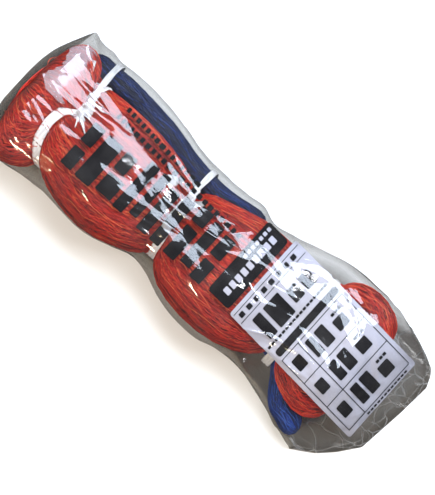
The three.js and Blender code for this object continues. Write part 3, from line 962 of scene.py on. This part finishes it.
def fold(u0, v0, direction, length, width, height):
    """A crease with flat flanks, sharpest in the middle of its length."""
    du = U - u0
    dv = (V - v0 + FULL / 2) % FULL - FULL / 2
    c, s = math.cos(direction), math.sin(direction)
    l, w = du * c + dv * s, -du * s + dv * c
    taper = np.clip(1 - np.abs(l) / (length / 2), 0, 1) ** 0.7
    return height * taper * np.clip(1 - np.abs(w) / (width * (0.35 + 0.65 * taper)), 0, 1)


relief = np.zeros((ROWS, COLUMNS))
for k, reach in ((1, 34), (2, 52), (3, 44)):
    for i in range(34):
        v0 = FULL * (i + rng.uniform(-0.3, 0.3)) / 34
        side = rng.choice([-1, 1])
        u0 = WAIST_X[k] + side * rng.uniform(2, 20)
        direction, length = rng.normal(0, 0.16), rng.uniform(0.7, 1.5) * reach
        relief += fold(u0, v0, direction, length, rng.uniform(2.5, 7), rng.uniform(0.6, 1.7))
# More folds: how many, from and to along the pack, how far they turn, then length, width and height
FOLDS = (
    (60, (0, 330), 0.5, (50, 110), (11, 24), (0.9, 2.3)),
    (110, (0, 340), 0.45, (18, 60), (2, 6), (0.2, 0.8)),
    (90, (292, 345), 0.7, (18, 60), (2.5, 11), (0.6, 2.4)),
    (26, (-8, 12), 0.4, (14, 40), (3, 7), (0.5, 1.4)),
)
for count, along, turned, *sizes in FOLDS:
    for _ in range(count):
        u0, v0, direction = rng.uniform(*along), rng.uniform(0, FULL), rng.normal(0, turned)
        relief += fold(u0, v0, direction, *(rng.uniform(*size) for size in sizes))
HIGHEST_FOLD = 3.4
relief = HIGHEST_FOLD * np.tanh(relief / HIGHEST_FOLD) - 1.3

du = np.gradient(grid, axis=0)
dv = np.roll(grid, -1, axis=1) - np.roll(grid, 1, axis=1)
normal = unit(np.cross(dv, du))
edge_fade = np.clip(np.minimum(np.arange(ROWS), ROWS - 1 - np.arange(ROWS)) / 10, 0, 1)[:, None]
thin_end = np.clip((grid[..., 2].max(1) - 1.2) / 10, 0.3, 1)[:, None]
thin_end = np.where((relief > 0) & (np.sin(A) > 0), 1, thin_end)
floor_fade = np.where(np.sin(A) > 0.02, 1, np.clip(grid[..., 2] / 6, 0.05, 1))
film_points = grid + normal * (relief * mix(0.35, 1, edge_fade) * thin_end * floor_fade)[..., None]
film_points[..., 2] = np.maximum(film_points[..., 2], 0.0)
ruffle = 1.3 * np.sin(A * 5 + 1) + 0.8 * np.sin(A * 11)
near_mouth = np.clip((row_x - 318) / 27, 0, 1)[:, None]
film_points[..., 2] += np.where(np.sin(A) > 0, 1, 0.3) * (0.7 + 0.25 * ruffle) * near_mouth
film_points[..., 2] = np.maximum(film_points[..., 2], 0.0)

# The cut mouth: straight stretches with blunt corners
MOUTH_Y = (-68, -66, -55, -44, -30, 7, 31, 39, 43.5, 48, 52, 54)
MOUTH_X = (303, 305, 318.5, 329, 339.5, 343.5, 345, 341.5, 338, 329, 318.5, 312)
mouth = film_points[-1]
shift_x = np.interp(mouth[:, 1], MOUTH_Y, MOUTH_X) - mouth[:, 0]
film_points[..., 0] += shift_x[None] * (np.clip((row_x - 285) / (row_x[-1] - 285), 0, 1) ** 2)[:, None]

i = np.arange(COLUMNS)
skin_points = settled(np.concatenate([film_points.reshape(-1, 3), film_points[0].mean(0)[None]]), bag=True)
head_fan = np.stack([np.full(COLUMNS, len(skin_points) - 1), i, (i + 1) % COLUMNS], 1)
tris = np.concatenate([split(grid_faces(ROWS, COLUMNS, True)), head_fan])
skin = new_mesh("film_bag_skin", skin_points, tris, film, replaces=("film_bag",), slot="film", settle=False)
# Painted shade on the film: its greyness is set higher low down near the floor and where the film stands
# steep at the sides
low_film = 1 - np.clip((skin_points[:, 2] - 2) / 17, 0, 1)
steep = np.append(np.clip((0.62 - np.abs(normal[..., 2])) / 0.4, 0, 1).ravel(), 0)
add_tone(skin, np.maximum(low_film, 0.6 * steep))
add_tone(skin, low_film * (0.12 + 0.88 * smooth((skin_points[:, 0] - 268) / 40)), "crumpled")

# The camera stands over the pack, a little towards the lower edge of the picture
WIDTH, HEIGHT = 435, 495
LENS, SENSOR, DISTANCE, ELEVATION, AZIMUTH = 274.0, 36.0, 2.6, 84.0, -47.6
TARGET = Vector((0.0056, 0.0083, 0.03))
el, az = math.radians(ELEVATION), math.radians(AZIMUTH)
view = Vector((math.cos(az) * math.cos(el), math.sin(az) * math.cos(el), math.sin(el)))
camera_data = bpy.data.cameras.new("camera")
camera_data.lens = LENS
camera_data.sensor_width = SENSOR
camera = bpy.data.objects.new("camera", camera_data)
bpy.context.scene.collection.objects.link(camera)
camera.location = TARGET + view * DISTANCE
camera.rotation_euler = (-view).to_track_quat("-Z", "Y").to_euler()
bpy.context.scene.camera = camera
bpy.context.view_layer.update()
FOCAL = LENS / SENSOR * HEIGHT

tree = BVHTree.FromPolygons([Vector(v) for v in (skin_points + SHIFT) / 1000], tris.tolist())
rotation = camera.rotation_euler.to_matrix()


def to_film(px, py, sink):
    """The point inside the film under a pixel of the photograph's frame, in millimetres before the shift."""
    d = rotation @ Vector(((px - WIDTH / 2) / FOCAL, -(py - HEIGHT / 2) / FOCAL, -1)).normalized()
    hit, n, _, _ = tree.ray_cast(camera.location, d)
    if hit is None:
        return None
    if n.dot(d) > 0:
        n = -n
    return np.array(hit - n * (sink / 1000)) * 1000 - SHIFT


# Ink: every mark is a strip of quads between two edges. It is laid out in pixels of the photograph's frame,
# along and across the pack, or along and across the label, which is turned a little more
PACK = ((215.8, 254.2), (0.738, 0.675), (0.675, -0.738))
LABEL = ((230.0, 315.0), (0.695, 0.718), (0.667, -0.745))


# Marks are cut into cells of about this many pixels
CELL = 1.1


def print_rows(rows, sink, layout):
    """rows: a list of (along, across from, across to), sunk below the film's outside by some millimetres."""
    origin, along, across = (np.array(v) for v in layout)
    widest = max(abs(b - a) for _, a, b in rows)
    columns = max(2, int(widest / CELL) + 2)
    verts = []
    for s, a, b in rows:
        for t in np.linspace(a, b, columns):
            x, y = origin + along * s + across * t
            q = to_film(x, y, sink)
            if q is None:
                return None
            verts.append(q)
    return np.array(verts), grid_faces(len(rows), columns, False)


def rounded(s0, s1, t0, t1, radius=0.0):
    """Rows of a rectangle with rounded corners."""
    curve = radius * (1 - np.cos(np.linspace(0, np.pi / 2, 6)))
    rows = []
    for s in sorted({*np.arange(s0, s1, CELL), s1, *(s0 + curve), *(s1 - curve)}):
        d = min(s - s0, s1 - s)
        inset = radius - math.sqrt(max(0, radius**2 - (radius - d) ** 2)) if d < radius else 0
        rows.append((s, t0 + inset, t1 - inset))
    return rows


def ink(name, shapes, mat, sink, layout=PACK):
    parts = [p for p in (print_rows(rows, sink, layout) for rows in shapes) if p is not None]
    new_mesh(name, *join_parts(parts), mat, slot="film", closed=False, settle=False)


def bars(s, t, wide, high, shares):
    """Plain heavy bars across the layout: each has its share of the height and width, from and to."""
    return [rounded(s + a * wide, s + b * wide, t + c * high, t + d * high, 1.5) for a, b, c, d in shares]


def blocks(s0, s1, t0, t1, step, count, radius):
    """A row of equal blocks across the layout."""
    return [rounded(s0, s1, t0 + step * j, t1 + step * j, radius) for j in range(count)]


# Three groups of heavy bars on the upper half
first = [(0, 0.22, 0, 0.44), (0, 0.22, 0.56, 1), (0.3, 0.6, 0, 1), (0.68, 1, 0.08, 0.5), (0.68, 0.9, 0.6, 1)]
second = [(0, 0.2, 0, 1), (0.28, 0.44, 0.1, 1), (0.52, 0.72, 0, 0.9), (0.8, 1, 0, 0.3), (0.8, 1, 0.4, 0.96)]
third = [(0, 0.3, 0, 0.6), (0, 0.3, 0.7, 1), (0.38, 0.64, 0.08, 0.94), (0.72, 1, 0, 0.4), (0.72, 1, 0.5, 0.9)]
heavy = bars(-178, -37, 64, 54, first) + bars(-110, -34, 62, 60, second) + bars(-42, -34, 50, 62, third)
# Two lines of small plain blocks beside them
for s0, s1, t0, t1 in ((-163, -60, 45, 36), (-166, 2, 33, 26)):
    s = s0
    while s < s1:
        length = rng.uniform(3.5, 6.5)
        t = mix(t0, t1, (s - s0) / (s1 - s0))
        heavy.append(rounded(s, s + length, t + 0.5, t + 6, 0.8))
        s += length + rng.uniform(1.8, 3)
ink("print_bars", heavy, black_ink, 0.3)

# The label: a dark header over a white panel with a strip, a row of figures, a dark bar and a ruled table
ink("print_label_header", [rounded(-34, -5, 2, 94, 4.0)], black_ink, 0.3, LABEL)
header = blocks(-22, -14, 12, 18, 8.5, 9, 1.0) + blocks(-30, -26, 50, 54, 6, 7, 0.6)
ink("print_label_header_marks", header, white_ink, 0.22, LABEL)
ink("print_label_panel", [rounded(-1, 172, 0, 100.5, 3.0)], white_ink, 0.5, LABEL)
marks = [rounded(3, 3.7, 2, 98, 0), rounded(14, 14.7, 2, 98, 0)]
marks += blocks(6, 11.5, 6, 12, 11, 8, 0.8)
marks += bars(20, 12, 27, 38, [(0, 1, 0, 0.3), (0, 1, 0.42, 1)])
marks += bars(26, 56, 16, 32, [(0, 1, 0, 0.42), (0, 1, 0.56, 1)])
marks += blocks(50, 52.6, 4, 8, 5.2, 17, 0.5)
marks.append(rounded(58, 66, 6, 96, 3.0))
LINE = 0.8
TABLE_ALONG, TABLE_ACROSS = (69, 101, 134, 166), (5, 29, 95)
marks += [rounded(s, s + LINE, TABLE_ACROSS[0], TABLE_ACROSS[-1], 0) for s in TABLE_ALONG]
marks += [rounded(TABLE_ALONG[0], TABLE_ALONG[-1], t, t + LINE, 0) for t in TABLE_ACROSS]
for row in range(3):
    s = 75 + 32.5 * row
    marks += bars(s + 2, 11, 14, 12, [(0, 1, 0, 1)])
    marks += bars(s - 1, 34, 21, 26, [(0, 1, 0, 0.4), (0, 1, 0.52, 1)])
    marks += bars(s + 6, 68, 13, 15, [(0, 1, 0, 1)])
    marks += blocks(s, s + 3, 72, 76, 5, 3, 0.5)
marks += blocks(168.6, 170.4, 30, 33.6, 5, 12, 0.3)
ink("print_label_marks", marks, black_ink, 0.22, LABEL)

# Studio: a pale floor, one large soft lamp from the upper right of the picture and a weak fill
bpy.ops.mesh.primitive_plane_add(size=6, location=(0, 0, -0.0002))
floor = bpy.context.object
floor.visible_glossy = False
floor.name = "floor"
floor_material, nodes, links, p, out = material("pale_floor")
greys = [(0.3, (0.78, 0.78, 0.78)), (0.7, (0.8, 0.8, 0.8))]
links.new(ramp(nodes, links, noise(nodes, links, 6.0), greys), p.inputs["Base Color"])
p.inputs["Roughness"].default_value = 0.8
floor.data.materials.append(floor_material)


def area(name, azimuth, elevation, distance, size, power, colour):
    """A lamp that shines on the pack from a direction in degrees."""
    lamp = bpy.data.lights.new(name, "AREA")
    lamp.color = colour
    lamp.shape = "RECTANGLE"
    lamp.size, lamp.size_y = size
    lamp.energy = power
    obj = bpy.data.objects.new(name, lamp)
    bpy.context.scene.collection.objects.link(obj)
    a, e = math.radians(azimuth), math.radians(elevation)
    d = Vector((math.cos(a) * math.cos(e), math.sin(a) * math.cos(e), math.sin(e)))
    obj.location = d * distance
    obj.rotation_euler = (-d).to_track_quat("-Z", "Y").to_euler()
    return obj


area("sky", 92, 57, 1.25, (1.6, 0.8), 42, (0.82, 0.9, 1.0))
area("fill", -100, 62, 1.5, (1.3, 1.3), 12, (1.0, 1.0, 1.0)).visible_glossy = False
area("glint_high", 40, 72, 1.2, (0.05, 0.3), 1.8, (1.0, 1.0, 1.0))
area("glint_low", -100, 38, 1.2, (0.25, 0.04), 6.5, (1.0, 0.8, 0.5))
world = bpy.data.worlds.new("world")
bpy.context.scene.world = world
world.use_nodes = True
world.node_tree.nodes["Background"].inputs["Color"].default_value = (1, 1, 1, 1)
world.node_tree.nodes["Background"].inputs["Strength"].default_value = 0.24

bpy.context.scene.view_settings.view_transform = "Standard"
